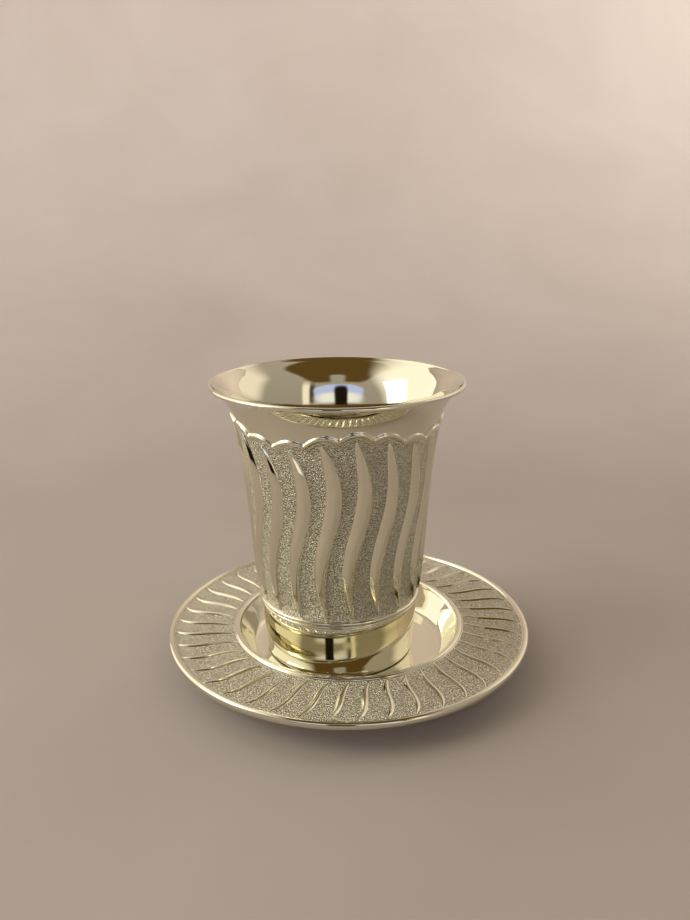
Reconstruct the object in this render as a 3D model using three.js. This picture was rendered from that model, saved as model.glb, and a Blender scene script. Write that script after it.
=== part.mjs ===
// Kiddush cup standing in the well of its saucer, both in polished and stippled silver.
//
// Two loose pieces: a flared cup with twenty S-shaped flutes under a scalloped moulding,
// and a round saucer with S-shaped ribs on its border. The cup only rests in the well.
// Units are millimetres, +Z is up, and the origin is on the table under the saucer's middle.

import * as THREE from 'three';

// ---------------------------------------------------------------- driving dimensions

const SILVER = { color: 0xb9ad98, roughness: 0.22, metalness: 1.0 };

const SAUCER = {
  radius: 57,
  height: 9.5, // table to the crest of the rim
  sheet: 1.2, // thickness of the metal
  groundHeight: 8.8, // stippled ground between the ribs
  rimWidth: 1.9,
  rimDepth: 2.3, // height of the turned-down edge
  wellRadius: 29.2, // flat floor of the well
  wellMouth: 34.6,
  mouldingRadius: 35.6, // raised ring round the well
  mouldingWidth: 2.0,
  ribs: 43,
  ribHeight: 0.5,
  ribWidth: 2.0,
  ribPhase: -93.0, // degrees, where one rib crosses the middle of the border
};

const CUP = {
  offset: -2.8, // the cup stands a little to one side in the well
  clearance: 0.3, // between the foot and the floor of the well
  height: 86,
  wall: 0.95,
  footRadius: 23.1,
  footTopRadius: 24.45,
  footHeight: 16.4,
  baseRadius: 24.6, // foot of the fluted body
  baseHeight: 19.2,
  taper: 0.075, // growth of the radius for each millimetre of height
  flareReach: 8.2, // what the flare adds at the lip
  flareLength: 7, // height over which the flare grows e-fold
  lipRadius: 0.68, // rolled edge
  floorHeight: 20,
  floorThickness: 1.2,
};

const FLUTE = {
  count: 20,
  phase: -80, // degrees, tip of one flute
  width: 4.6,
  height: 1.1,
  swingUp: 6.1, // degrees that the upper bend swings out
  swingDown: 3.7,
  crossing: 0.56, // share of the length at which the S crosses its own line
  tipGap: 3.0, // from the top of a lobe down to the tip of its flute
};

const SCALLOP = {
  cuspHeight: 73, // deepest cusp above the foot
  swell: 3.3, // four long swells round the cup lift the small lobes
  swells: 4,
  lobe: 1.7,
  width: 1.8,
  height: 0.7,
};

const COLUMNS_PER_FLUTE = 4;
const COLUMNS_PER_RIB = 3;
const SMOOTH_COLUMNS = 40;

const degrees = THREE.MathUtils.degToRad;

// ---------------------------------------------------------------- surfaces of rings

// One closed ring of points. place(u) gives the radius, the angle and the height at
// the share u of a full turn.
function ring(count, place) {
  const points = [];
  for (let i = 0; i < count; i += 1) {
    const { radius, angle, height } = place(i / count);
    points.push(new THREE.Vector3(radius * Math.cos(angle), radius * Math.sin(angle), height));
  }
  return points;
}

// A plain circle of the turned profile, with its first point at the angle start.
function turnedRing(radius, height, count, start) {
  return ring(count, (u) => ({ radius, height, angle: start + u * 2 * Math.PI }));
}

// Joins rings, listed from the middle of the top face over the rim to the middle of the
// underside, into one closed surface that faces outwards. Neighbouring rings may have
// different counts of points.
function closedSurface(topHeight, rings, bottomHeight) {
  const vertices = [new THREE.Vector3(0, 0, topHeight)];
  const starts = rings.map((points) => {
    const start = vertices.length;
    vertices.push(...points);
    return start;
  });
  const last = vertices.length;
  vertices.push(new THREE.Vector3(0, 0, bottomHeight));

  const faces = [];
  const at = (r, i) => starts[r] + (i % rings[r].length);
  for (let i = 0; i < rings[0].length; i += 1) {
    faces.push(0, at(0, i), at(0, i + 1));
  }
  for (let r = 0; r + 1 < rings.length; r += 1) {
    const here = rings[r].length;
    const next = rings[r + 1].length;
    let i = 0;
    let j = 0;
    while (i < here || j < next) {
      if (j >= next || (i < here && (i + 1) / here < (j + 1) / next)) {
        faces.push(at(r, i), at(r + 1, j), at(r, i + 1));
        i += 1;
      } else {
        faces.push(at(r, i), at(r + 1, j), at(r + 1, j + 1));
        j += 1;
      }
    }
  }
  const end = rings.length - 1;
  for (let i = 0; i < rings[end].length; i += 1) {
    faces.push(at(end, i), last, at(end, i + 1));
  }

  const geometry = new THREE.BufferGeometry().setFromPoints(vertices);
  geometry.setIndex(faces);
  geometry.computeVertexNormals();
  return geometry;
}

// ---------------------------------------------------------------- the saucer

// Angle by which a rib leaves the radius: an S that is nearly radial at its middle.
function ribBend(radius) {
  const inner = SAUCER.mouldingRadius + SAUCER.mouldingWidth / 2;
  const outer = SAUCER.radius - SAUCER.rimWidth;
  const t = (2 * (radius - inner)) / (outer - inner) - 1;
  return degrees(-0.9 * t - 2.9 * t ** 3);
}

// One ring across the ribs: foot, crest and foot of each rib, with the ground between.
function ribRing(radius, share) {
  const { ribs, ribWidth, ribHeight, groundHeight, ribPhase } = SAUCER;
  const halfWidth = ribWidth / 2 / radius;
  const across = [-halfWidth, -halfWidth * 0.25, halfWidth];
  const lift = [0, ribHeight * share, 0];
  return ring(ribs * COLUMNS_PER_RIB, (u) => {
    const column = Math.round(u * ribs * COLUMNS_PER_RIB);
    const rib = Math.floor(column / COLUMNS_PER_RIB);
    const k = column % COLUMNS_PER_RIB;
    const middle = degrees(ribPhase) + (rib / ribs) * 2 * Math.PI + ribBend(radius);
    return { radius, angle: middle + across[k], height: groundHeight + lift[k] };
  });
}

function makeSaucer() {
  const s = SAUCER;
  const floor = s.sheet;
  const mouldingInner = s.mouldingRadius - s.mouldingWidth / 2;
  const mouldingOuter = s.mouldingRadius + s.mouldingWidth / 2;
  const rimInner = s.radius - s.rimWidth;
  const sides = s.ribs * 2;
  const turn = (radius, height, count = sides) => turnedRing(
    radius,
    height,
    count,
    degrees(s.ribPhase) + ribBend(radius < s.mouldingRadius * 1.2 ? mouldingOuter : rimInner),
  );

  const well = [
    turn(s.wellRadius - 0.6, floor, s.ribs),
    turn(s.wellRadius + 1.0, floor + 0.7, s.ribs),
    turn(s.wellRadius + 3.4, floor + 4.2, s.ribs),
    turn(s.wellMouth - 0.2, s.groundHeight - 0.5),
  ];
  const moulding = [
    turn(mouldingInner + 0.3, s.height - 0.2),
    turn(s.mouldingRadius, s.height + 0.05),
    turn(mouldingOuter - 0.3, s.height - 0.2),
    turn(mouldingOuter, s.groundHeight),
  ];
  const border = [];
  const rows = 6;
  for (let i = 0; i <= rows; i += 1) {
    const t = i / rows;
    const radius = THREE.MathUtils.lerp(mouldingOuter + 0.35, rimInner - 0.35, t);
    border.push(ribRing(radius, Math.sin(Math.PI * (0.12 + 0.76 * t)) ** 0.4));
  }
  const rim = [
    turn(rimInner, s.groundHeight),
    turn(rimInner + 0.5, s.height - 0.1),
    turn(s.radius - 0.7, s.height),
    turn(s.radius, s.height - 0.8),
    turn(s.radius - 0.5, s.height - s.rimDepth),
  ];
  const underside = [
    turn(rimInner - 0.4, s.groundHeight - s.sheet, s.ribs),
    turn(mouldingOuter + 0.2, s.groundHeight - s.sheet, s.ribs),
    turn(s.wellMouth + 0.9, s.groundHeight - s.sheet - 0.9, s.ribs),
    turn(s.wellRadius + 4.5, floor + 3.2, s.ribs),
    turn(s.wellRadius + 2.0, 0.5, s.ribs),
    turn(s.wellRadius + 0.9, 0, s.ribs),
  ];
  return closedSurface(floor, [...well, ...moulding, ...border, ...rim, ...underside], 0);
}

// ---------------------------------------------------------------- the cup

// Outer radius of the plain body, before flutes and mouldings: a slow taper that
// opens into a trumpet flare at the lip.
function bodyRadius(height) {
  const flare = CUP.flareReach * Math.exp((height - CUP.height) / CUP.flareLength);
  return CUP.baseRadius + CUP.taper * (height - CUP.baseHeight) + flare;
}

// The same body, moved inwards by the wall's thickness square to the surface.
function innerPoint(height) {
  const step = 0.01;
  const slope = (bodyRadius(height + step) - bodyRadius(height)) / step;
  const length = Math.hypot(1, slope);
  return {
    radius: bodyRadius(height) - CUP.wall / length,
    height: height + (CUP.wall * slope) / length,
  };
}

// Height of the line through the cusps of the scalloped moulding at an angle: four
// long swells, with their low points on cusps.
function cuspLine(angle) {
  const low = degrees(FLUTE.phase - 180 / SCALLOP.swells);
  const wave = (1 - Math.cos(SCALLOP.swells * (angle - low))) / 2;
  return SCALLOP.cuspHeight + SCALLOP.swell * wave;
}

// Top edge of the scalloped moulding: a round lobe over each flute.
function scallopLine(angle) {
  const turns = ((angle - degrees(FLUTE.phase)) / (2 * Math.PI)) * FLUTE.count;
  const across = 2 * (turns - Math.round(turns));
  return cuspLine(angle) + SCALLOP.lobe * (1 - across ** 2);
}

// A flute at the share s of its length, from the tip under its lobe to the bead.
function fluteSection(s) {
  const swing = s < FLUTE.crossing
    ? FLUTE.swingUp * Math.sin((Math.PI * s) / FLUTE.crossing)
    : -FLUTE.swingDown * Math.sin((Math.PI * (s - FLUTE.crossing)) / (1 - FLUTE.crossing));
  const fullness = Math.sin(Math.PI * s);
  return {
    middle: degrees(swing),
    width: Math.max(FLUTE.width * Math.sin(Math.PI * s ** 0.8) ** 0.6, 0.5),
    crest: FLUTE.height * fullness ** 0.35,
    ridge: 0.36 * Math.cos(Math.PI * s), // towards the right above, the left below
  };
}

// One ring across the flutes at the share s of their length. Each flute has four
// columns: the middle of the ground on its left, its left edge, its ridge, its right edge.
function fluteRing(s) {
  const columns = FLUTE.count * COLUMNS_PER_FLUTE;
  const pitch = (2 * Math.PI) / FLUTE.count;
  const section = fluteSection(s);
  return ring(columns, (u) => {
    const column = Math.round(u * columns);
    const k = column % COLUMNS_PER_FLUTE;
    const tip = degrees(FLUTE.phase) + Math.floor(column / COLUMNS_PER_FLUTE) * pitch;
    const top = scallopLine(tip) - FLUTE.tipGap;
    const height = THREE.MathUtils.lerp(top, CUP.baseHeight + 0.3, s);
    const ground = bodyRadius(height);
    const half = section.width / 2 / ground;
    const across = [-pitch / 2, -half, 2 * half * section.ridge, half][k];
    const groundHeight = THREE.MathUtils.lerp(
      (top + scallopLine(tip - pitch) - FLUTE.tipGap) / 2,
      CUP.baseHeight + 0.3,
      s,
    );
    return {
      radius: k === 0 ? bodyRadius(groundHeight) : ground + (k === 2 ? section.crest : 0),
      angle: tip + section.middle + across,
      height: k === 0 ? groundHeight : height,
    };
  });
}

// One ring that follows the scalloped moulding, below its top edge by drop.
function scallopRing(drop, lift) {
  const columns = FLUTE.count * COLUMNS_PER_FLUTE;
  const firstCusp = degrees(FLUTE.phase) - Math.PI / FLUTE.count;
  return ring(columns, (u) => {
    const angle = firstCusp + u * 2 * Math.PI;
    const height = scallopLine(angle) - drop;
    return { radius: bodyRadius(height) + lift, angle, height };
  });
}

// A ring of the smooth flare above the moulding, t = 0 at the moulding, 1 at the lip.
function flareRing(t, lipHeight) {
  const columns = FLUTE.count * COLUMNS_PER_FLUTE;
  const firstCusp = degrees(FLUTE.phase) - Math.PI / FLUTE.count;
  return ring(columns, (u) => {
    const angle = firstCusp + u * 2 * Math.PI;
    const height = THREE.MathUtils.lerp(scallopLine(angle) + 0.3, lipHeight, t);
    return { radius: bodyRadius(height), angle, height };
  });
}

function makeCup() {
  const c = CUP;
  const columns = FLUTE.count * COLUMNS_PER_FLUTE;
  const firstAngle = degrees(FLUTE.phase) - Math.PI / FLUTE.count;
  const turn = (radius, height, count = SMOOTH_COLUMNS) => (
    turnedRing(radius, height, count, firstAngle)
  );

  const bowl = [
    turn(c.baseRadius - c.wall - 5.5, c.floorHeight),
    turn(c.baseRadius - c.wall - 2.0, c.floorHeight + 0.9),
    turn(c.baseRadius - c.wall - 0.1, c.floorHeight + 3.4),
  ];
  for (const height of [42, 58, 68, 75, 80, 83]) {
    const inner = innerPoint(height);
    bowl.push(turn(inner.radius, inner.height));
  }

  const lipCentre = c.height - c.lipRadius;
  const lipMiddle = bodyRadius(lipCentre) + 0.25;
  const lip = [165, 105, 50, 0, -50].map((a) => turn(
    lipMiddle + c.lipRadius * Math.cos(degrees(a)),
    lipCentre + c.lipRadius * Math.sin(degrees(a)),
    columns,
  ));

  const flareTop = lipCentre - c.lipRadius - 0.3;
  const flare = [1, 0.55, 0].map((t) => flareRing(t, flareTop));
  const moulding = [
    scallopRing(0.35, SCALLOP.height),
    scallopRing(SCALLOP.width - 0.5, SCALLOP.height * 0.8),
    scallopRing(SCALLOP.width, 0),
  ];
  const flutes = [];
  const rows = 12;
  for (let i = 0; i <= rows; i += 1) {
    flutes.push(fluteRing(i / rows));
  }

  const beads = [
    turn(c.baseRadius, c.baseHeight),
    turn(c.baseRadius + 0.6, c.baseHeight - 0.45),
    turn(c.baseRadius + 0.6, c.baseHeight - 1.0),
    turn(c.baseRadius + 0.1, c.baseHeight - 1.5),
    turn(c.baseRadius + 0.4, c.baseHeight - 1.85),
    turn(c.baseRadius + 0.35, c.baseHeight - 2.25),
    turn(c.footTopRadius - 0.1, c.baseHeight - 2.6),
  ];
  const foot = [
    turn(c.footTopRadius, c.footHeight - 0.4),
    turn(c.footRadius + 0.75, c.footHeight / 2),
    turn(c.footRadius, 0),
    turn(c.footRadius - c.wall, 0),
    turn(c.footTopRadius - c.wall - 0.1, c.footHeight - 0.4),
    turn(c.footTopRadius - c.wall - 1.2, c.floorHeight - c.floorThickness),
  ];

  const rings = [...bowl, ...lip, ...flare, ...moulding, ...flutes, ...beads, ...foot];
  return closedSurface(c.floorHeight, rings, c.floorHeight - c.floorThickness);
}

// ---------------------------------------------------------------- the two pieces

function piece(name, geometry) {
  const mesh = new THREE.Mesh(geometry, new THREE.MeshStandardMaterial(SILVER));
  mesh.name = name;
  return mesh;
}

const saucer = piece('saucer', makeSaucer());
const cup = piece('cup', makeCup());
cup.position.set(CUP.offset, 0, SAUCER.sheet + CUP.clearance);

const kiddushCup = new THREE.Group();
kiddushCup.add(saucer, cup);

export default kiddushCup;
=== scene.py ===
"""Kiddush cup of raised silver, standing in the well of its ribbed saucer.

Both pieces are turned forms whose decoration repeats round the axis. Python shapes one
sector of each, and Geometry Nodes turn it round the axis, lift the scalloped band in
long swells, stipple the ground and give the finishes.
"""
import math

import bpy
import numpy as np
from bpy.props import (FloatProperty, FloatVectorProperty, IntProperty, PointerProperty,
                       StringProperty)
from mathutils import Matrix, Vector


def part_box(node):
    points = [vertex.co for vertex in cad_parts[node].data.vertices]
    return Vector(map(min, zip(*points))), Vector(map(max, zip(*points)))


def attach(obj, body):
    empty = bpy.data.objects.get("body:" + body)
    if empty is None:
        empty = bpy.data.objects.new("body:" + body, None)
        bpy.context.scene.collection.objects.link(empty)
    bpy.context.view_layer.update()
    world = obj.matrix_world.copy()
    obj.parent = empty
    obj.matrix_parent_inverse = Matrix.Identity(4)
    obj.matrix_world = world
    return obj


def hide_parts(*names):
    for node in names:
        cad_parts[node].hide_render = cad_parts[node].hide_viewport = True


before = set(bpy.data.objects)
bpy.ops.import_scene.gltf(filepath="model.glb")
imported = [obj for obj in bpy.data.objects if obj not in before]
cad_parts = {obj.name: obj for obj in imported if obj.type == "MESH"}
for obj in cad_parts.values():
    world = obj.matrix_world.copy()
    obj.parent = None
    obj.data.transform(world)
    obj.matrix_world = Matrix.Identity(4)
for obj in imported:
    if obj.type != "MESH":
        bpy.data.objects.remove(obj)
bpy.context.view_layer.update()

bl_info = {
    "name": "Kiddush Cup",
    "version": (1, 0, 0),
    "blender": (4, 5, 0),
    "location": "View3D > Sidebar > Kiddush Cup",
    "description": "A flared silver kiddush cup with swirled flutes, on a ribbed saucer",
    "category": "Add Mesh",
}

MM = 0.001
CUP_LOW, CUP_HIGH = (Vector(corner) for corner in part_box("cup"))
SAUCER_LOW, SAUCER_HIGH = (Vector(corner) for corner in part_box("saucer"))
CUP_AXIS = ((CUP_LOW.x + CUP_HIGH.x) / 2, (CUP_LOW.y + CUP_HIGH.y) / 2, CUP_LOW.z)
MERGE_DISTANCE = 0.008 * MM

FLUTE_CROSSING = 0.56  # share of a flute's length at which its S crosses its own line
FLUTE_TIP_GAP = 3.0 * MM  # from the top of a lobe down to the tip of its flute
FLUTE_TIP_WIDTH = 0.5 * MM
RIDGE_SWAY = 0.22  # how far the ridge leaves the middle, as a share of the width
FACET_SWAP = (0.38, 0.24)  # shares of the length where the facets start to swap, and take
EDGE_STEP = (0.05, 0.16)  # small step at the edge of a soft ridge: its width and height
RIB_REACH = (0.03, 0.94)  # shares of the border where a rib starts, and covers
RIB_LEAN = (0.9, 2.9)  # degrees by which a rib leans, and curls more at its ends
DOT_LEVEL = 0.55  # share of the spacing at which a punched dot meets the ground

# Corner points of the saucer's turned wall in millimetres, radius and height.
WELL_INSIDE = ((30.4, 1.8), (32.1, 4.2), (33.6, 6.8))
WELL_OUTSIDE = ((33.6, 3.9), (31.6, 0.6), (30.4, 0.0))

SILVER_FILM = "#E6E1CB"
# Tone of the stippled ground's pits: tarnish, and painted shade for the shade that falls in them.
PIT_SHADE_AND_TARNISH = "#BDB6A2"
PAPER_MOTTLE = "#BEB4AD"
WALL_LOW, WALL_HIGH = "#9C9285", "#B2A79A"
LAMP_WHITE = "#FFF3E8"

# Soft patches of light and shade in the room. Each has its turn, its rise, half its
# width, half its height and the softness of its edge, then its colour and strength.
ROOM = (
    (132, 30, 26, 18, 0.4, "#FFF1DC", 1.0),  # lit wall behind, on the right
    (0, 72, 32, 31, 0.08, "#6B5229", 0.8),  # brown canopy over the front
    (-109, 30, 43, 36, 0.4, "#FFF7E6", 1.3),  # wide bright opening on the left
    (0, 46, 7, 8, 0.3, "#A8A396", 1.0),  # grey block over the window
    (33, 24, 3, 13, 0.5, "#5A4A38", 0.8),  # post at the window's right
    (41, 24, 4, 14, 0.4, "#FFF3DF", 1.1),  # pale strip beside the post
    (-1, 26, 28, 11, 0.1, "#B7C2EE", 1.2),  # window in front, with the blue of the sky
    (-1, 20, 26, 5, 0.4, "#EFECE6", 1.2),  # its whiter lower part
    (-4, 20, 8, 15, 0.2, "#2E2118", 0.5),  # dark figure before the window
    (-10, 1, 27, 8, 0.2, "#2A1E15", 0.5),  # dark things on the table
    (35, 3, 14, 9, 0.4, "#FFF6E8", 1.1),  # bright low light on the right
)


# ------------------------------------------------------------------------ settings


class CupSettings(bpy.types.PropertyGroup):
    """Sizes of the cup, measured from the underside of its foot."""

    height: FloatProperty(
        name="Height", description="Foot to the top of the lip", unit="LENGTH",
        default=CUP_HIGH.z - CUP_LOW.z)
    wall: FloatProperty(
        name="Wall", description="Thickness of the silver", unit="LENGTH", default=0.95 * MM)
    base_radius: FloatProperty(
        name="Base Radius", description="Radius of the body just above the beads",
        unit="LENGTH", default=24.6 * MM)
    base_height: FloatProperty(
        name="Base Height", description="Height at which the body starts", unit="LENGTH",
        default=19.2 * MM)
    taper: FloatProperty(
        name="Taper", description="Growth of the radius for each unit of height",
        default=0.075)
    flare_reach: FloatProperty(
        name="Flare Reach", description="What the trumpet flare adds at the lip",
        unit="LENGTH", default=8.2 * MM)
    flare_length: FloatProperty(
        name="Flare Length", description="Height over which the flare grows e-fold",
        unit="LENGTH", default=7.0 * MM)
    lip_radius: FloatProperty(
        name="Lip Radius", description="Radius of the rolled edge", unit="LENGTH",
        default=0.68 * MM)
    foot_radius: FloatProperty(
        name="Foot Radius", description="Radius on which the cup stands", unit="LENGTH",
        default=23.1 * MM)
    foot_top_radius: FloatProperty(
        name="Foot Top Radius", description="Radius of the foot under the beads",
        unit="LENGTH", default=24.4 * MM)
    foot_height: FloatProperty(
        name="Foot Height", description="Height of the plain foot", unit="LENGTH",
        default=16.4 * MM)
    floor_height: FloatProperty(
        name="Floor Height", description="Height of the floor inside the cup",
        unit="LENGTH", default=20.0 * MM)
    flutes: IntProperty(
        name="Flutes", description="Raised S-shaped flutes round the body", default=20)
    flute_phase: FloatProperty(
        name="Flute Phase", description="Angle of one flute's tip", subtype="ANGLE",
        default=math.radians(-80))
    flute_width: FloatProperty(
        name="Flute Width", description="Greatest width of a flute", unit="LENGTH",
        default=4.6 * MM)
    flute_relief: FloatProperty(
        name="Flute Relief", description="Height of a flute's ridge", unit="LENGTH",
        default=1.25 * MM)
    swing_up: FloatProperty(
        name="Upper Swing", description="Angle that the upper bend swings out",
        subtype="ANGLE", default=math.radians(6.1))
    swing_down: FloatProperty(
        name="Lower Swing", description="Angle that the lower bend swings back",
        subtype="ANGLE", default=math.radians(3.7))
    scallop_height: FloatProperty(
        name="Scallop Height", description="Height of the deepest cusps", unit="LENGTH",
        default=73.0 * MM)
    scallop_lobe: FloatProperty(
        name="Scallop Lobe", description="Rise of a lobe over its cusps", unit="LENGTH",
        default=1.7 * MM)
    scallop_width: FloatProperty(
        name="Scallop Width", description="Width of the scalloped moulding",
        unit="LENGTH", default=2.0 * MM)
    scallop_relief: FloatProperty(
        name="Scallop Relief", description="Height of the scalloped moulding",
        unit="LENGTH", default=0.8 * MM)
    swells: IntProperty(
        name="Swells", description="Long swells of the scalloped band", default=4)
    swell_height: FloatProperty(
        name="Swell Height", description="Rise of a long swell", unit="LENGTH",
        default=3.3 * MM)


class SaucerSettings(bpy.types.PropertyGroup):
    """Sizes of the saucer, measured from the table."""

    radius: FloatProperty(
        name="Radius", description="Outer radius of the rim", unit="LENGTH",
        default=57.0 * MM)
    height: FloatProperty(
        name="Height", description="Table to the crest of the rim", unit="LENGTH",
        default=9.5 * MM)
    sheet: FloatProperty(
        name="Sheet", description="Thickness of the silver", unit="LENGTH",
        default=1.2 * MM)
    ground: FloatProperty(
        name="Ground", description="Height of the stippled border", unit="LENGTH",
        default=8.8 * MM)
    rim_width: FloatProperty(
        name="Rim Width", description="Width of the rounded rim", unit="LENGTH",
        default=1.9 * MM)
    well_radius: FloatProperty(
        name="Well Radius", description="Radius of the flat floor of the well",
        unit="LENGTH", default=29.0 * MM)
    ring_radius: FloatProperty(
        name="Ring Radius", description="Radius of the raised ring round the well",
        unit="LENGTH", default=35.6 * MM)
    ring_width: FloatProperty(
        name="Ring Width", description="Width of that raised ring", unit="LENGTH",
        default=2.0 * MM)
    ribs: IntProperty(
        name="Ribs", description="S-shaped ribs on the border", default=43)
    rib_phase: FloatProperty(
        name="Rib Phase", description="Angle of one rib's middle", subtype="ANGLE",
        default=math.radians(-93))
    rib_width: FloatProperty(
        name="Rib Width", description="Width of a rib", unit="LENGTH", default=1.9 * MM)
    rib_relief: FloatProperty(
        name="Rib Relief", description="Height of a rib", unit="LENGTH",
        default=0.48 * MM)


class FinishSettings(bpy.types.PropertyGroup):
    """Finish of the silver."""

    silver: StringProperty(
        name="Silver", description="Colour of the silver, as an sRGB hex value",
        default="#EDEAD7")
    polish: FloatProperty(
        name="Polish", description="Roughness of the polished silver", default=0.05,
        min=0.0, max=1.0)
    matt: FloatProperty(
        name="Matt", description="Roughness of the stippled ground", default=0.22,
        min=0.0, max=1.0)
    grain: FloatProperty(
        name="Grain", description="Spacing of the punched dots", unit="LENGTH",
        default=0.45 * MM)
    punch: FloatProperty(
        name="Punch", description="Depth of the punched dots", unit="LENGTH",
        default=0.10 * MM)
    seed: IntProperty(name="Seed", description="Seed of the punched ground", default=7)


class StageSettings(bpy.types.PropertyGroup):
    """Floor, light and camera."""

    paper: StringProperty(
        name="Paper", description="Colour of the backdrop, as an sRGB hex value",
        default="#D5CDC8")
    key: FloatProperty(
        name="Key Light", description="Power of the soft panel on the left", unit="POWER",
        default=0.8)
    lamp: FloatProperty(
        name="Backdrop Lamp", description="Power of the lamp that washes the backdrop",
        unit="POWER", default=3.4)
    camera_place: FloatVectorProperty(
        name="Camera Place", description="Where the camera stands", unit="LENGTH",
        default=(0.0, -231.2 * MM, 134.1 * MM))
    camera_turn: FloatVectorProperty(
        name="Camera Turn", description="Pitch down, roll and yaw of the camera",
        subtype="EULER", default=(0.301, -0.008, -0.003))
    lens: FloatProperty(
        name="Lens", description="Focal length on a 36 mm frame, in millimetres",
        default=31.2)


# ------------------------------------------------------------------------ small helpers


def srgb(code):
    """Linear colour, with full alpha, of an sRGB hex value."""
    parts = [int(code[i:i + 2], 16) / 255 for i in (1, 3, 5)]
    linear = [c / 12.92 if c <= 0.04045 else ((c + 0.055) / 1.055) ** 2.4 for c in parts]
    return (*linear, 1.0)


def add_node(tree, kind, inputs=None, **settings):
    """Add a node, set its properties, and link or set its inputs."""
    node = tree.nodes.new(kind)
    for name, value in settings.items():
        setattr(node, name, value)
    for key, value in (inputs or {}).items():
        if isinstance(value, bpy.types.Node):
            value = value.outputs[0]
        if isinstance(value, bpy.types.NodeSocket):
            tree.links.new(value, node.inputs[key])
        else:
            node.inputs[key].default_value = value
    return node


# ------------------------------------------------------------------------ sectors


class Sector:
    """Rows of points from the middle of the top to the middle of the underside."""

    def __init__(self, turns, columns):
        self.pitch = 2 * math.pi / turns
        self.columns = columns
        self.even = np.linspace(-0.5, 0.5, columns + 1) * self.pitch
        self.points = []
        self.rise = []
        self.stipple = []
        self.ground = []

    def row(self, radius, height, angle=None, rise=0.0, stipple=0.0, ground=False):
        """Add one row; ground tells which faces below it are stippled."""
        width = self.columns + 1
        angle = self.even if angle is None else angle
        radius = np.broadcast_to(radius, width)
        height = np.broadcast_to(height, width)
        points = (radius * np.cos(angle), radius * np.sin(angle), height)
        self.points.append(np.stack(points, axis=1))
        self.rise.append(np.broadcast_to(rise, width))
        self.stipple.append(np.broadcast_to(stipple, width))
        self.ground.append(np.broadcast_to(ground, self.columns))

    def turned(self, profile, shift=0.0):
        """Add plain rows through points of (radius, height)."""
        for radius, height in profile:
            self.row(radius, height, self.even + shift)

    def mesh(self, name, top, bottom):
        """The sector as a mesh, with a point on the axis at its top and its bottom."""
        rows = len(self.points)
        width = self.columns + 1
        points = np.concatenate([*self.points, [(0, 0, top), (0, 0, bottom)]])
        first, last = rows * width, rows * width + 1
        faces = [(first, i, i + 1) for i in range(self.columns)]
        ground = [False] * self.columns
        for r in range(rows - 1):
            for i in range(self.columns):
                a = r * width + i
                faces.append((a, a + width, a + width + 1, a + 1))
            ground.extend(self.ground[r])
        end = (rows - 1) * width
        faces += [(end + i, last, end + i + 1) for i in range(self.columns)]
        ground += [False] * self.columns

        mesh = bpy.data.meshes.new(name)
        mesh.from_pydata(points.tolist(), [], faces)
        for label, values in (("rise", self.rise), ("stipple", self.stipple)):
            data = np.concatenate([*values, [0.0, 0.0]]).astype(np.float32)
            mesh.attributes.new(label, "FLOAT", "POINT").data.foreach_set("value", data)
        mesh.attributes.new("ground", "BOOLEAN", "FACE").data.foreach_set("value", ground)
        return mesh


def arc(centre_radius, centre_height, across, up, start, end, steps):
    """Points of an elliptic arc in the profile, angles in degrees."""
    angles = np.radians(np.linspace(start, end, steps + 1))
    return [(centre_radius + across * math.cos(a), centre_height + up * math.sin(a))
            for a in angles]


def smooth(points, steps):
    """Points of a smooth curve through a few corner points of the profile."""
    points = np.array(points)
    padded = np.concatenate([[2 * points[0] - points[1]], points, [2 * points[-1] - points[-2]]])
    curve = []
    for a, b, c, d in zip(padded, padded[1:], padded[2:], padded[3:]):
        for t in np.arange(steps) / steps:
            curve.append(0.5 * (2 * b + (c - a) * t + (2 * a - 5 * b + 4 * c - d) * t ** 2
                                + (3 * b - a - 3 * c + d) * t ** 3))
    return [*curve, points[-1]]


# ------------------------------------------------------------------------ the cup


def body_radius(cup, height):
    """Radius of the plain body: a slow taper that opens into a trumpet flare."""
    flare = cup.flare_reach * np.exp((height - cup.height) / cup.flare_length)
    return cup.base_radius + cup.taper * (height - cup.base_height) + flare


def cup_bowl(cup, sector):
    """Floor and inner wall of the cup, up to the lip."""
    inside = cup.base_radius - cup.wall
    floor = cup.floor_height
    across, up = 4.6 * MM, 4.2 * MM  # the rounded corner of the floor
    low, high = floor + 6 * MM, cup.height - 1.6 * MM  # the plain wall
    sector.turned([(share * inside, floor) for share in (0.06, 0.2, 0.4, 0.6, 0.74)])
    sector.turned(arc(inside - across, floor + up, across, up, -80, 0, 7))
    step = 0.01 * MM
    for height in np.linspace(low, high, 14):
        slope = (body_radius(cup, height + step) - body_radius(cup, height)) / step
        length = math.hypot(1, slope)
        sector.row(body_radius(cup, height) - cup.wall / length,
                   height + cup.wall * slope / length)


def cup_lip(cup, sector):
    """The rolled edge."""
    rolled_out, gap = 0.25 * MM, 0.3 * MM
    centre = cup.height - cup.lip_radius
    middle = body_radius(cup, centre) + rolled_out
    sector.turned(arc(middle, centre, cup.lip_radius, cup.lip_radius, 165, -60, 13))
    return centre - cup.lip_radius - gap


def scallop_line(cup, angle, pitch):
    """Top edge of the moulding over one flute, without the long swells."""
    across = 2 * angle / pitch
    return cup.scallop_height + cup.scallop_lobe * (1 - across ** 2)


def cup_flare(cup, sector, top):
    """The smooth flare, which ends on the scalloped moulding."""
    gap = 0.25 * MM
    edge = scallop_line(cup, sector.even, sector.pitch) + gap
    for t in np.linspace(0, 1, 13):
        height = top + (edge - top) * t
        sector.row(body_radius(cup, height), height, rise=t)


def cup_moulding(cup, sector):
    """The rounded scalloped moulding, as full above as below."""
    edge = scallop_line(cup, sector.even, sector.pitch)
    for t in np.linspace(0, 1, 9):
        height = edge - cup.scallop_width * t
        swell = max(math.sin(math.pi * t), 0.0) ** 0.8
        sector.row(body_radius(cup, height) + cup.scallop_relief * swell, height, rise=1.0)


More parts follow.
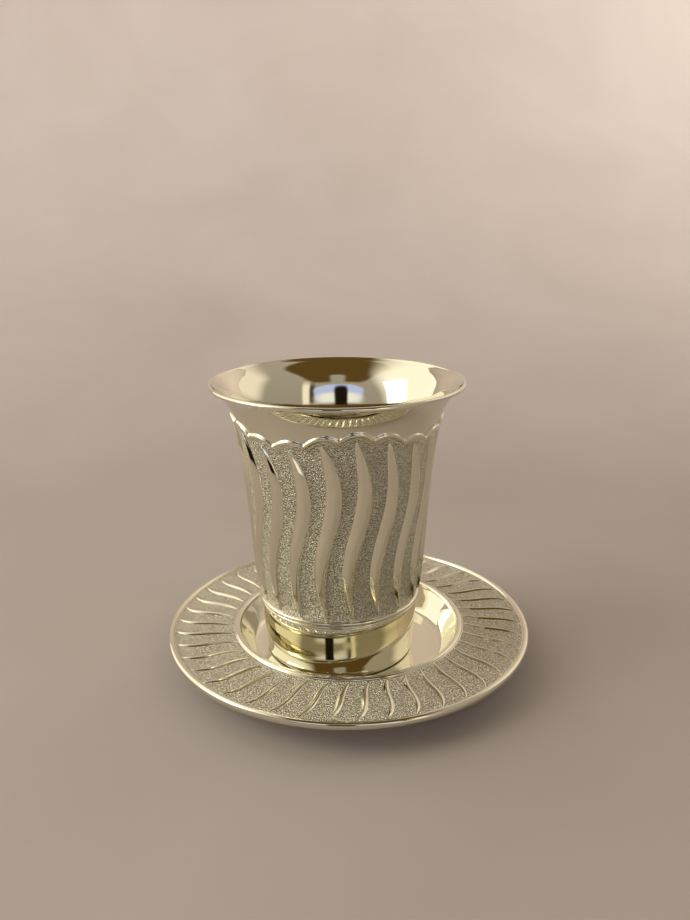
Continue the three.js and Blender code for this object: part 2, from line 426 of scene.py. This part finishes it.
def flute_row(cup, share):
    """Swing, width, relief and ridge place of a flute at a share of its length."""
    if share < FLUTE_CROSSING:
        swing = cup.swing_up * math.sin(math.pi * share / FLUTE_CROSSING)
    else:
        below = (share - FLUTE_CROSSING) / (1 - FLUTE_CROSSING)
        swing = -cup.swing_down * math.sin(math.pi * below)
    # Widest above the middle, and standing up higher towards both tips.
    width = cup.flute_width * max(math.sin(math.pi * share ** 0.8), 0.0) ** 0.6
    fullness = max(math.sin(math.pi * share), 0.0) ** 0.3
    relief = cup.flute_relief * fullness * (0.7 + 0.4 * abs(math.cos(math.pi * share)))
    # The ridge keeps to the right above and to the left below.
    sway = math.copysign(abs(math.cos(math.pi * share)) ** 0.5, 0.5 - share)
    return swing, max(width, FLUTE_TIP_WIDTH), relief, 0.5 + RIDGE_SWAY * sway


def ridge_columns(half, ridge, near, far, near_facet, far_facet):
    """Offsets and heights (0 to 1) of columns over a ridge.

    Each side runs from a soft convex slope with a small step at its edge (facet 0) to a
    straight facet (facet 1).
    """
    rise = np.linspace(0, 1, near + 1)
    fall = np.linspace(0, 1, far + 1)
    step_width, step_height = EDGE_STEP
    rise[1] = fall[1] = step_width
    lift = []
    for side, facet in ((rise, near_facet), (fall, far_facet)):
        soft = step_height + (1 - step_height) * np.sin(np.pi / 2 * side) ** 0.9
        height = soft * (1 - facet) + side ** 0.9 * facet
        height[0] = 0.0
        lift.append(height)
    offset = np.concatenate([-half + 2 * half * ridge * rise,
                             (half - 2 * half * (1 - ridge) * fall)[-2::-1]])
    return offset, np.concatenate([lift[0], lift[1][-2::-1]])


def cup_body(cup, sector):
    """The stippled body with one flute, from the moulding down to the beads."""
    sides, near = 4, 7  # columns of ground on each side, and up to the ridge
    far = sector.columns - 2 * sides - near
    ground_faces = np.ones(sector.columns, bool)
    ground_faces[sides:-sides] = False
    gap = 0.3 * MM
    low = cup.base_height + gap
    edge = scallop_line(cup, sector.even, sector.pitch) - cup.scallop_width
    tip = cup.scallop_height + cup.scallop_lobe - FLUTE_TIP_GAP
    start = np.minimum(edge - gap, tip)
    lead, rows = 4, 104  # rows down to the flute's tip, and in all
    swap_start, swap_length = FACET_SWAP
    for r in range(1, rows + 1):
        if r <= lead:
            height = edge + (start - edge) * r / lead
        else:
            height = start + (low - start) * (r - lead) / (rows - lead)
        share = max(0.0, (r - lead) / (rows - lead))
        swing, width, relief, ridge = flute_row(cup, share)
        half = width / 2 / body_radius(cup, float(height.mean()))
        swap = min(max((share - swap_start) / swap_length, 0.0), 1.0)
        flute, crest = ridge_columns(half, ridge, near, far, swap, 1 - swap)
        left = np.linspace(-sector.pitch / 2, -half, sides + 1)[:-1]
        right = np.linspace(half, sector.pitch / 2, sides + 1)[1:]
        aligned = np.concatenate([left, flute, right])
        blend = min(1.0, r / lead)
        angle = sector.even * (1 - blend) + aligned * blend + swing
        lift = np.zeros(sector.columns + 1)
        stipple = np.ones(sector.columns + 1)
        if r > lead:
            lift[sides:-sides] = relief * crest
            stipple[sides:-sides] = 0.0
        sector.row(body_radius(cup, height) + lift, height, angle, rise=1 - r / rows,
                   stipple=stipple if 1 < r < rows - 1 else 0.0,
                   ground=ground_faces if r >= lead else True)


def cup_foot(cup, sector):
    """Two beads, the plain foot and its hollow underside."""
    base = cup.base_height
    radius = cup.base_radius
    # The upper bead, and a smaller one under it.
    sector.turned([(radius, base)])
    sector.turned(arc(radius, base - 0.68 * MM, 0.72 * MM, 0.64 * MM, 88, -88, 11))
    sector.turned(arc(radius, base - 1.78 * MM, 0.46 * MM, 0.4 * MM, 85, -85, 9))
    # The plain foot, which narrows downwards, and its rounded standing edge.
    top = cup.foot_top_radius
    sector.turned(smooth([(top - 0.1 * MM, base - 2.3 * MM), (top, cup.foot_height - 0.6 * MM),
                          (top - 0.45 * MM, cup.foot_height * 0.5),
                          (cup.foot_radius + 0.25 * MM, 2.0 * MM)], 3))
    sector.turned(arc(cup.foot_radius - 0.2 * MM, 0.3 * MM, 0.3 * MM, 0.3 * MM, 20, -90, 5))
    # The hollow under the foot, up to the underside of the cup's floor.
    inner = cup.foot_radius - cup.wall
    sector.turned([(inner + 0.2 * MM, 0.0), (inner, 0.3 * MM)])
    floor_thickness = 1.2 * MM
    under = cup.floor_height - floor_thickness
    sector.turned(smooth([(inner + 0.1 * MM, 2 * MM), (top - cup.wall - 0.1 * MM, 14 * MM),
                          (top - cup.wall - 1.6 * MM, under - 0.4 * MM),
                          (top - cup.wall - 4 * MM, under)], 3))
    sector.turned([(inner * share, under) for share in (0.6, 0.3, 0.08)])
    return under


def cup_sector(cup):
    """One flute's share of the whole cup."""
    sector = Sector(cup.flutes, 22)
    cup_bowl(cup, sector)
    top = cup_lip(cup, sector)
    cup_flare(cup, sector, top)
    cup_moulding(cup, sector)
    cup_body(cup, sector)
    under = cup_foot(cup, sector)
    return sector.mesh("cup_sector", cup.floor_height, under)


# ------------------------------------------------------------------------ the saucer


def rib_bend(saucer, radius):
    """Angle by which a rib leaves the radius: an S, nearly radial at its middle."""
    inner = saucer.ring_radius + saucer.ring_width / 2
    outer = saucer.radius - saucer.rim_width
    t = 2 * (radius - inner) / (outer - inner) - 1
    lean, curl = RIB_LEAN
    return math.radians(-lean * t - curl * t ** 3)


def saucer_border(saucer, sector, inner, outer):
    """The stippled border with one rib."""
    sides, near = 4, 4  # columns of ground on each side, and up to the ridge
    far = sector.columns - 2 * sides - near
    ground_faces = np.ones(sector.columns, bool)
    ground_faces[sides:-sides] = False
    rows = 44
    start, reach = RIB_REACH
    for r in range(rows + 1):
        t = r / rows
        radius = inner + (outer - inner) * t
        fullness = math.sin(math.pi * min(max((t - start) / reach, 0.0), 1.0))
        narrowest = 0.4 * MM
        width = max(saucer.rib_width * fullness ** 0.4, narrowest)
        half = width / 2 / radius
        # The crest keeps to the near side, which is straight; the far side is softer.
        rib, crest = ridge_columns(half, 0.4, near, far, 1.0, 0.5)
        left = np.linspace(-sector.pitch / 2, -half, sides + 1)[:-1]
        right = np.linspace(half, sector.pitch / 2, sides + 1)[1:]
        angle = np.concatenate([left, rib, right]) + rib_bend(saucer, radius)
        lift = np.zeros(sector.columns + 1)
        lift[sides:-sides] = saucer.rib_relief * fullness ** 0.5 * crest
        stipple = np.ones(sector.columns + 1)
        stipple[sides:-sides] = 0.0
        sector.row(radius, saucer.ground + lift, angle,
                   stipple=stipple if 0 < r < rows else 0.0,
                   ground=ground_faces if r < rows else False)


def saucer_sector(saucer):
    """One rib's share of the whole saucer."""
    sector = Sector(saucer.ribs, 18)
    sheet = saucer.sheet
    ring = saucer.ring_radius
    half = saucer.ring_width / 2
    rim_inner = saucer.radius - saucer.rim_width
    inward = rib_bend(saucer, ring + half)
    outward = rib_bend(saucer, rim_inner)

    floor = [(saucer.well_radius * share, sheet) for share in (0.05, 0.2, 0.45, 0.7, 0.9)]
    sector.turned(floor, inward)
    sector.turned(smooth([(saucer.well_radius, sheet),
                          *((r * MM, z * MM) for r, z in WELL_INSIDE),
                          (ring - half - 0.02 * MM, saucer.ground - 0.3 * MM)], 4), inward)
    sector.turned(arc(ring, saucer.ground - 0.05 * MM, half, 0.75 * MM, 176, 4, 9), inward)
    saucer_border(saucer, sector, ring + half + 0.15 * MM, rim_inner - 0.15 * MM)
    bulge = saucer.rim_width / 2
    centre = saucer.height - bulge
    sector.turned([(rim_inner, saucer.ground - 0.08 * MM)], outward)
    sector.turned(arc(saucer.radius - bulge, centre, bulge, bulge, 160, -10, 11), outward)
    under = saucer.ground - sheet
    sector.turned(smooth([(saucer.radius - 0.12 * MM, 7.7 * MM),
                          (saucer.radius - 0.5 * MM, 7.25 * MM),
                          (saucer.radius - 1.2 * MM, 7.35 * MM),
                          (rim_inner - 0.6 * MM, under)], 3), outward)
    sector.turned([(r * MM, under) for r in (50, 44, 40)], 0.0)
    sector.turned(smooth([(37.2 * MM, under), (35.4 * MM, under - 0.9 * MM),
                          *((r * MM, z * MM) for r, z in WELL_OUTSIDE)], 3), inward)
    sector.turned([(saucer.well_radius * share, 0.0) for share in (0.98, 0.6, 0.3, 0.08)], inward)
    return sector.mesh("saucer_sector", sheet, 0.0)


# ------------------------------------------------------------------------ geometry nodes


TREE_INPUTS = (
    ("Sector", "NodeSocketGeometry"),
    ("Count", "NodeSocketInt"),
    ("Phase", "NodeSocketFloat"),
    ("Place", "NodeSocketVector"),
    ("Swells", "NodeSocketInt"),
    ("Swell Height", "NodeSocketFloat"),
    ("Lip Height", "NodeSocketFloat"),
    ("Taper", "NodeSocketFloat"),
    ("Flare Reach", "NodeSocketFloat"),
    ("Flare Length", "NodeSocketFloat"),
    ("Grain", "NodeSocketFloat"),
    ("Punch", "NodeSocketFloat"),
    ("Seed", "NodeSocketInt"),
    ("Polished", "NodeSocketMaterial"),
    ("Stippled", "NodeSocketMaterial"),
)


def swell_offset(tree, given):
    """Lift the scalloped band in long swells that keep to the body's profile."""
    place = add_node(tree, "GeometryNodeInputPosition")
    xyz = add_node(tree, "ShaderNodeSeparateXYZ", {0: place})
    angle = add_node(tree, "ShaderNodeMath", {0: xyz.outputs[1], 1: xyz.outputs[0]},
                     operation="ARCTAN2")
    turn = add_node(tree, "ShaderNodeMath", {0: angle, 1: given["Swells"]},
                    operation="MULTIPLY")
    wave = add_node(tree, "ShaderNodeMath", {0: turn}, operation="COSINE")
    share = add_node(tree, "ShaderNodeMath", {0: wave, 1: 0.5, 2: 0.5},
                     operation="MULTIPLY_ADD")
    rise = add_node(tree, "GeometryNodeInputNamedAttribute", {"Name": "rise"},
                    data_type="FLOAT")
    weight = add_node(tree, "ShaderNodeMath", {0: share, 1: rise}, operation="MULTIPLY")
    lift = add_node(tree, "ShaderNodeMath", {0: weight, 1: given["Swell Height"]},
                    operation="MULTIPLY")
    below_lip = add_node(tree, "ShaderNodeMath", {0: xyz.outputs[2], 1: given["Lip Height"]},
                         operation="SUBTRACT")
    along = add_node(tree, "ShaderNodeMath", {0: below_lip, 1: given["Flare Length"]},
                     operation="DIVIDE")
    flare = add_node(tree, "ShaderNodeMath", {0: along}, operation="EXPONENT")
    lift_along = add_node(tree, "ShaderNodeMath", {0: lift, 1: given["Flare Length"]},
                          operation="DIVIDE")
    growth = add_node(tree, "ShaderNodeMath", {0: lift_along}, operation="EXPONENT")
    extra = add_node(tree, "ShaderNodeMath", {0: growth, 1: 1.0}, operation="SUBTRACT")
    flared = add_node(tree, "ShaderNodeMath", {0: flare, 1: extra}, operation="MULTIPLY")
    reach = add_node(tree, "ShaderNodeMath", {0: flared, 1: given["Flare Reach"]},
                     operation="MULTIPLY")
    widen = add_node(tree, "ShaderNodeMath", {0: lift, 1: given["Taper"], 2: reach},
                     operation="MULTIPLY_ADD")
    flat = add_node(tree, "ShaderNodeCombineXYZ", {0: xyz.outputs[0], 1: xyz.outputs[1]})
    outwards = add_node(tree, "ShaderNodeVectorMath", {0: flat}, operation="NORMALIZE")
    sideways = add_node(tree, "ShaderNodeVectorMath", {0: outwards, "Scale": widen},
                        operation="SCALE")
    upwards = add_node(tree, "ShaderNodeCombineXYZ", {2: lift})
    return add_node(tree, "ShaderNodeVectorMath", {0: sideways, 1: upwards}, operation="ADD")


def stipple_offset(tree, given):
    """Press a seeded field of small domes into the ground, along its normals."""
    place = add_node(tree, "GeometryNodeInputPosition")
    scale = add_node(tree, "ShaderNodeMath", {0: 1.0, 1: given["Grain"]}, operation="DIVIDE")
    dots = add_node(tree, "ShaderNodeTexVoronoi",
                    {"Vector": place, "W": given["Seed"], "Scale": scale},
                    voronoi_dimensions="4D", feature="F1")
    dome = add_node(tree, "ShaderNodeMath", {0: DOT_LEVEL, 1: dots.outputs["Distance"]},
                    operation="SUBTRACT")
    mask = add_node(tree, "GeometryNodeInputNamedAttribute", {"Name": "stipple"},
                    data_type="FLOAT")
    masked = add_node(tree, "ShaderNodeMath", {0: dome, 1: mask}, operation="MULTIPLY")
    depth = add_node(tree, "ShaderNodeMath", {0: masked, 1: given["Punch"]},
                     operation="MULTIPLY")
    normal = add_node(tree, "GeometryNodeInputNormal")
    return add_node(tree, "ShaderNodeVectorMath", {0: normal, "Scale": depth},
                    operation="SCALE")


def turned_tree():
    """Turn a sector round its axis, shape and stipple it, and give its finishes."""
    tree = bpy.data.node_groups.new("Turned Silver", "GeometryNodeTree")
    for name, kind in TREE_INPUTS:
        tree.interface.new_socket(name=name, in_out="INPUT", socket_type=kind)
    tree.interface.new_socket(name="Piece", in_out="OUTPUT", socket_type="NodeSocketGeometry")
    given = add_node(tree, "NodeGroupInput").outputs

    points = add_node(tree, "GeometryNodePoints", {"Count": given["Count"]})
    index = add_node(tree, "GeometryNodeInputIndex")
    pitch = add_node(tree, "ShaderNodeMath", {0: 2 * math.pi, 1: given["Count"]},
                     operation="DIVIDE")
    turn = add_node(tree, "ShaderNodeMath", {0: index, 1: pitch}, operation="MULTIPLY")
    rotation = add_node(tree, "ShaderNodeCombineXYZ", {2: turn})
    copies = add_node(tree, "GeometryNodeInstanceOnPoints",
                      {"Points": points, "Instance": given["Sector"], "Rotation": rotation})
    whole = add_node(tree, "GeometryNodeRealizeInstances", {0: copies})
    merged = add_node(tree, "GeometryNodeMergeByDistance",
                      {"Geometry": whole, "Distance": MERGE_DISTANCE})
    swelled = add_node(tree, "GeometryNodeSetPosition",
                       {"Geometry": merged, "Offset": swell_offset(tree, given)})
    stippled = add_node(tree, "GeometryNodeSetPosition",
                        {"Geometry": swelled, "Offset": stipple_offset(tree, given)})
    smoothed = add_node(tree, "GeometryNodeSetShadeSmooth", {0: stippled})
    turned = add_node(tree, "ShaderNodeCombineXYZ", {2: given["Phase"]})
    placed = add_node(tree, "GeometryNodeTransform",
                      {"Geometry": smoothed, "Translation": given["Place"],
                       "Rotation": turned})
    realised = add_node(tree, "GeometryNodeRealizeInstances", {0: placed})
    polished = add_node(tree, "GeometryNodeSetMaterial",
                        {"Geometry": realised, "Material": given["Polished"]})
    ground = add_node(tree, "GeometryNodeInputNamedAttribute", {"Name": "ground"},
                      data_type="BOOLEAN")
    finished = add_node(tree, "GeometryNodeSetMaterial",
                        {"Geometry": polished, "Selection": ground,
                         "Material": given["Stippled"]})
    add_node(tree, "NodeGroupOutput", {0: finished})
    return tree


def turned_piece(name, sector, values):
    """Run the tree on a sector and keep the result as a plain mesh."""
    piece = bpy.data.objects.new(name, sector)
    bpy.context.scene.collection.objects.link(piece)
    tree = bpy.data.node_groups.get("Turned Silver") or turned_tree()
    modifier = piece.modifiers.new("Turned Silver", "NODES")
    modifier.node_group = tree
    sockets = {item.name: item.identifier for item in tree.interface.items_tree
               if item.in_out == "INPUT"}
    for label, value in values.items():
        modifier[sockets[label]] = value
    depsgraph = bpy.context.evaluated_depsgraph_get()
    mesh = bpy.data.meshes.new_from_object(piece.evaluated_get(depsgraph))
    piece.modifiers.clear()
    piece.data = mesh
    mesh.name = name
    bpy.data.meshes.remove(sector)
    for label in ("rise", "stipple", "ground"):
        if label in mesh.attributes:
            mesh.attributes.remove(mesh.attributes[label])
    return piece


# ------------------------------------------------------------------------ materials


def blank_material(name):
    """A new material, with its tree, its shader and the place on the piece."""
    material = bpy.data.materials.new(name)
    material.use_nodes = True
    tree = material.node_tree
    place = add_node(tree, "ShaderNodeTexCoord").outputs["Object"]
    return material, tree, tree.nodes["Principled BSDF"], place


def polished_silver(finish):
    """Sterling silver, raised, buffed on a wheel and polished: a warm mirror."""
    material, tree, shader, place = blank_material("polished_silver")
    shader.inputs["Metallic"].default_value = 1.0
    # Cloudy patches of handling, a few centimetres wide, dull the mirror a little.
    film = add_node(tree, "ShaderNodeTexNoise",
                    {"Vector": place, "Scale": 1 / (18 * MM), "Detail": 4.0})
    tone = add_node(tree, "ShaderNodeMix", {0: film, 6: srgb(finish.silver),
                                            7: srgb(SILVER_FILM)}, data_type="RGBA")
    tree.links.new(tone.outputs[2], shader.inputs["Base Color"])
    roughness = add_node(tree, "ShaderNodeMapRange",
                         {"Value": film, "From Min": 0.3, "From Max": 0.7,
                          "To Min": finish.polish * 0.7, "To Max": finish.polish * 1.4})
    tree.links.new(roughness.outputs[0], shader.inputs["Roughness"])
    # Faint waves of the hammer under the polish, some 6 mm apart.
    planish = add_node(tree, "ShaderNodeTexNoise",
                       {"Vector": place, "Scale": 1 / (6 * MM),
                        "Detail": 1.0})
    bump = add_node(tree, "ShaderNodeBump",
                    {"Height": planish, "Strength": 1.0, "Distance": 0.02 * MM})
    tree.links.new(bump.outputs[0], shader.inputs["Normal"])
    return material


def stippled_silver(finish):
    """The same silver, its ground punched with fine dots: a glittering half matt."""
    material, tree, shader, place = blank_material("stippled_silver")
    shader.inputs["Metallic"].default_value = 1.0
    dots = add_node(tree, "ShaderNodeTexVoronoi",
                    {"Vector": place, "Scale": 1 / finish.grain},
                    feature="F1")
    # A grit of 0.32 mm breaks up the dots. Real punch marks are finer still, and this is
    # as coarse as they need to be to show.
    fine = add_node(tree, "ShaderNodeTexNoise",
                    {"Vector": place, "Scale": 1 / (0.32 * MM),
                     "Detail": 2.0})
    # The pits between the dots are darker: partly tarnish where polish never reaches, partly
    # painted shade for the shade that falls into them.
    pit_shade_and_tarnish = add_node(tree, "ShaderNodeMapRange",
                    {"Value": dots.outputs["Distance"], "From Min": 0.3, "From Max": 0.75},
                    interpolation_type="SMOOTHSTEP")
    tone = add_node(tree, "ShaderNodeMix", {0: pit_shade_and_tarnish, 6: srgb(finish.silver),
                                            7: srgb(PIT_SHADE_AND_TARNISH)}, data_type="RGBA")
    tree.links.new(tone.outputs[2], shader.inputs["Base Color"])
    roughness = add_node(tree, "ShaderNodeMapRange",
                         {"Value": fine, "From Min": 0.3, "From Max": 0.7,
                          "To Min": finish.matt * 0.8, "To Max": finish.matt * 1.3})
    tree.links.new(roughness.outputs[0], shader.inputs["Roughness"])
    height = add_node(tree, "ShaderNodeMath", {0: fine, 1: dots.outputs["Distance"]},
                      operation="SUBTRACT")
    bump = add_node(tree, "ShaderNodeBump",
                    {"Height": height, "Strength": 1.0, "Distance": 0.5 * MM})
    tree.links.new(bump.outputs[0], shader.inputs["Normal"])
    return material


def paper(stage):
    """A seamless sheet of matt studio paper, faintly mottled."""
    material, tree, shader, place = blank_material("studio_paper")
    shader.inputs["Roughness"].default_value = 0.85
    mottle = add_node(tree, "ShaderNodeTexNoise",
                      {"Vector": place, "Scale": 7.0, "Detail": 6.0,
                       "Distortion": 0.6})
    tone = add_node(tree, "ShaderNodeMix", {0: mottle, 6: srgb(stage.paper),
                                            7: srgb(PAPER_MOTTLE)}, data_type="RGBA")
    tree.links.new(tone.outputs[2], shader.inputs["Base Color"])
    return material


# ------------------------------------------------------------------------ operators


def finish_values(finish, seed):
    """Inputs of the tree that both pieces share: the stipple and the two finishes."""
    made = bpy.data.materials
    return {
        "Grain": finish.grain,
        "Punch": finish.punch,
        "Seed": seed,
        "Polished": made.get("polished_silver") or polished_silver(finish),
        "Stippled": made.get("stippled_silver") or stippled_silver(finish),
    }


class KIDDUSH_OT_cup(bpy.types.Operator):
    """Make the cup"""

    bl_idname = "kiddush.cup"
    bl_label = "Make Cup"

    def execute(self, context):
        cup = context.scene.kiddush_cup
        finish = context.scene.kiddush_finish
        piece = turned_piece("silver_cup", cup_sector(cup), {
            "Count": cup.flutes,
            "Phase": cup.flute_phase,
            "Place": CUP_AXIS,
            "Swells": cup.swells,
            "Swell Height": cup.swell_height,
            "Lip Height": cup.height,
            "Taper": cup.taper,
            "Flare Reach": cup.flare_reach,
            "Flare Length": cup.flare_length,
            **finish_values(finish, finish.seed),
        })
        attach(piece, "root")
        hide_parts("cup")
        return {"FINISHED"}


class KIDDUSH_OT_saucer(bpy.types.Operator):
    """Make the saucer"""

    bl_idname = "kiddush.saucer"
    bl_label = "Make Saucer"

    def execute(self, context):
        saucer = context.scene.kiddush_saucer
        finish = context.scene.kiddush_finish
        piece = turned_piece("silver_saucer", saucer_sector(saucer), {
            "Count": saucer.ribs,
            "Phase": saucer.rib_phase,
            "Place": (0.0, 0.0, 0.0),
            "Swells": 0,
            "Swell Height": 0.0,
            "Lip Height": saucer.height,
            "Taper": 0.0,
            "Flare Reach": 0.0,
            "Flare Length": 1.0,
            **finish_values(finish, finish.seed + 1),
        })
        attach(piece, "root")
        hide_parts("saucer")
        return {"FINISHED"}


def make_backdrop(stage):
    """A floor that sweeps up behind the cup."""
    front, flat_end, bend, top = -0.9, 0.12, 0.65, 0.9
    profile = [(front, 0.0), (flat_end, 0.0)]
    for a in np.radians(np.linspace(0, 90, 24)):
        profile.append((flat_end + bend * math.sin(a), bend * (1 - math.cos(a))))
    profile.append((flat_end + bend, top))
    half_width = 0.62
    points = [(side * half_width, y, z) for y, z in profile for side in (-1, 1)]
    faces = [(2 * i, 2 * i + 1, 2 * i + 3, 2 * i + 2) for i in range(len(profile) - 1)]
    mesh = bpy.data.meshes.new("backdrop")
    mesh.from_pydata(points, [], faces)
    mesh.materials.append(paper(stage))
    for polygon in mesh.polygons:
        polygon.use_smooth = True
    backdrop = bpy.data.objects.new("backdrop", mesh)
    bpy.context.scene.collection.objects.link(backdrop)


def add_panel(name, place, target, size, power, colour):
    """A soft square light that looks at a point."""
    light = bpy.data.lights.new(name, "AREA")
    light.size = size
    light.energy = power
    light.color = srgb(colour)[:3]
    lamp = bpy.data.objects.new(name, light)
    lamp.location = place
    aim = Vector(target) - Vector(place)
    lamp.rotation_euler = aim.to_track_quat("-Z", "Y").to_euler()
    bpy.context.scene.collection.objects.link(lamp)


def patch(tree, room, turn, rise, wide, high, soft, colour, strength):
    """Lay a soft-edged rounded oblong over the room.

    turn is the compass angle of its middle, from the front and to the right, and rise its
    angle above the table; wide and high are half its size, all in degrees.
    """
    turn, rise = math.radians(turn), math.radians(rise)
    forward = Vector((math.sin(turn) * math.cos(rise), -math.cos(turn) * math.cos(rise),
                      math.sin(rise)))
    across = Vector((math.cos(turn), math.sin(turn), 0.0))
    upward = forward.cross(across)
    direction = add_node(tree, "ShaderNodeTexCoord").outputs["Generated"]
    ahead, x, y = (add_node(tree, "ShaderNodeVectorMath", {0: direction, 1: tuple(axis)},
                            operation="DOT_PRODUCT").outputs["Value"]
                   for axis in (forward, across, upward))
    least = 0.001  # keeps the half of the room that lies behind out of the patch
    depth = add_node(tree, "ShaderNodeMath", {0: ahead, 1: least}, operation="MAXIMUM")
    total = 0.0
    for offset, half in ((x, wide), (y, high)):
        slope = add_node(tree, "ShaderNodeMath", {0: offset, 1: depth}, operation="DIVIDE")
        share = add_node(tree, "ShaderNodeMath", {0: slope, 1: math.tan(math.radians(half))},
                         operation="DIVIDE")
        square = add_node(tree, "ShaderNodeMath", {0: share, 1: share}, operation="MULTIPLY")
        total = add_node(tree, "ShaderNodeMath", {0: square, 1: square, 2: total},
                         operation="MULTIPLY_ADD")
    edge = add_node(tree, "ShaderNodeMath", {0: total, 1: 1 / 4}, operation="POWER")
    mask = add_node(tree, "ShaderNodeMapRange",
                    {"Value": edge, "From Min": 1 + soft, "From Max": 1 - soft},
                    interpolation_type="SMOOTHSTEP")
    bright = (*(c * strength for c in srgb(colour)[:3]), 1.0)
    return add_node(tree, "ShaderNodeMix", {0: mask, 6: room, 7: bright},
                    data_type="RGBA").outputs[2]


def make_world():
    """A warm room round the table, plain but for its patches of light and shade."""
    world = bpy.data.worlds.new("room")
    world.use_nodes = True
    tree = world.node_tree
    background = tree.nodes["Background"]
    coords = add_node(tree, "ShaderNodeTexCoord")
    xyz = add_node(tree, "ShaderNodeSeparateXYZ", {0: coords.outputs["Generated"]})
    walls = add_node(tree, "ShaderNodeMapRange",
                     {"Value": xyz.outputs[2], "From Min": -0.2, "From Max": 0.9})
    shade = add_node(tree, "ShaderNodeMix", {0: walls, 6: srgb(WALL_LOW), 7: srgb(WALL_HIGH)},
                     data_type="RGBA")
    room = shade.outputs[2]
    for values in ROOM:
        room = patch(tree, room, *values)
    tree.links.new(room, background.inputs["Color"])
    background.inputs["Strength"].default_value = 1.0
    bpy.context.scene.world = world


def make_camera(stage):
    """A camera a little above the cup, looking down at it."""
    pitch, roll, yaw = stage.camera_turn
    forward = Vector((math.sin(yaw) * math.cos(pitch), math.cos(yaw) * math.cos(pitch),
                      -math.sin(pitch)))
    right = Vector((math.cos(yaw), -math.sin(yaw), 0.0))
    up = right.cross(forward)
    level = Matrix((right, up, -forward)).transposed()
    turn = Matrix.Rotation(roll, 3, "Z")
    data = bpy.data.cameras.new("camera")
    data.sensor_width = 36.0
    data.lens = stage.lens
    data.clip_start = 0.01
    camera = bpy.data.objects.new("camera", data)
    camera.matrix_world = (level @ turn).to_4x4()
    camera.location = stage.camera_place
    bpy.context.scene.collection.objects.link(camera)
    bpy.context.scene.camera = camera


class KIDDUSH_OT_stage(bpy.types.Operator):
    """Make the floor, the light and the camera"""

    bl_idname = "kiddush.stage"
    bl_label = "Make Stage"

    def execute(self, context):
        stage = context.scene.kiddush_stage
        make_camera(stage)
        make_backdrop(stage)
        make_world()
        add_panel("key_panel", (-0.55, -0.1, 0.35), (0.0, 0.0, 0.02), 0.3, stage.key,
                  "#FFF8EC")
        add_panel("backdrop_right", (0.42, 0.2, 0.62), (0.55, 0.9, 0.5), 0.3, stage.lamp,
                  LAMP_WHITE)
        add_panel("backdrop_left", (-0.34, 0.2, 0.62), (-0.42, 0.9, 0.5), 0.3,
                  stage.lamp / 2, LAMP_WHITE)
        context.scene.view_settings.view_transform = "Standard"
        return {"FINISHED"}


class KIDDUSH_PT_panel(bpy.types.Panel):
    """Settings and pieces of the kiddush cup"""

    bl_idname = "KIDDUSH_PT_panel"
    bl_label = "Kiddush Cup"
    bl_space_type = "VIEW_3D"
    bl_region_type = "UI"
    bl_category = "Kiddush Cup"

    def draw(self, context):
        for name in GROUPS:
            settings = getattr(context.scene, name)
            box = self.layout.box()
            for key in settings.__annotations__:
                box.prop(settings, key)
        for operator in (KIDDUSH_OT_stage, KIDDUSH_OT_cup, KIDDUSH_OT_saucer):
            self.layout.operator(operator.bl_idname)


GROUPS = {
    "kiddush_cup": CupSettings,
    "kiddush_saucer": SaucerSettings,
    "kiddush_finish": FinishSettings,
    "kiddush_stage": StageSettings,
}
CLASSES = (*GROUPS.values(), KIDDUSH_OT_cup, KIDDUSH_OT_saucer, KIDDUSH_OT_stage,
           KIDDUSH_PT_panel)


def register():
    """Register the classes and hang their settings on the scene."""
    for cls in CLASSES:
        bpy.utils.register_class(cls)
    for name, group in GROUPS.items():
        setattr(bpy.types.Scene, name, PointerProperty(type=group))


def unregister():
    """Take everything back out."""
    for name in GROUPS:
        delattr(bpy.types.Scene, name)
    for cls in reversed(CLASSES):
        bpy.utils.unregister_class(cls)


def main():
    """Make the stage and both pieces."""
    register()
    bpy.ops.kiddush.stage()
    bpy.ops.kiddush.cup()
    bpy.ops.kiddush.saucer()


if __name__ == "__main__":
    main()
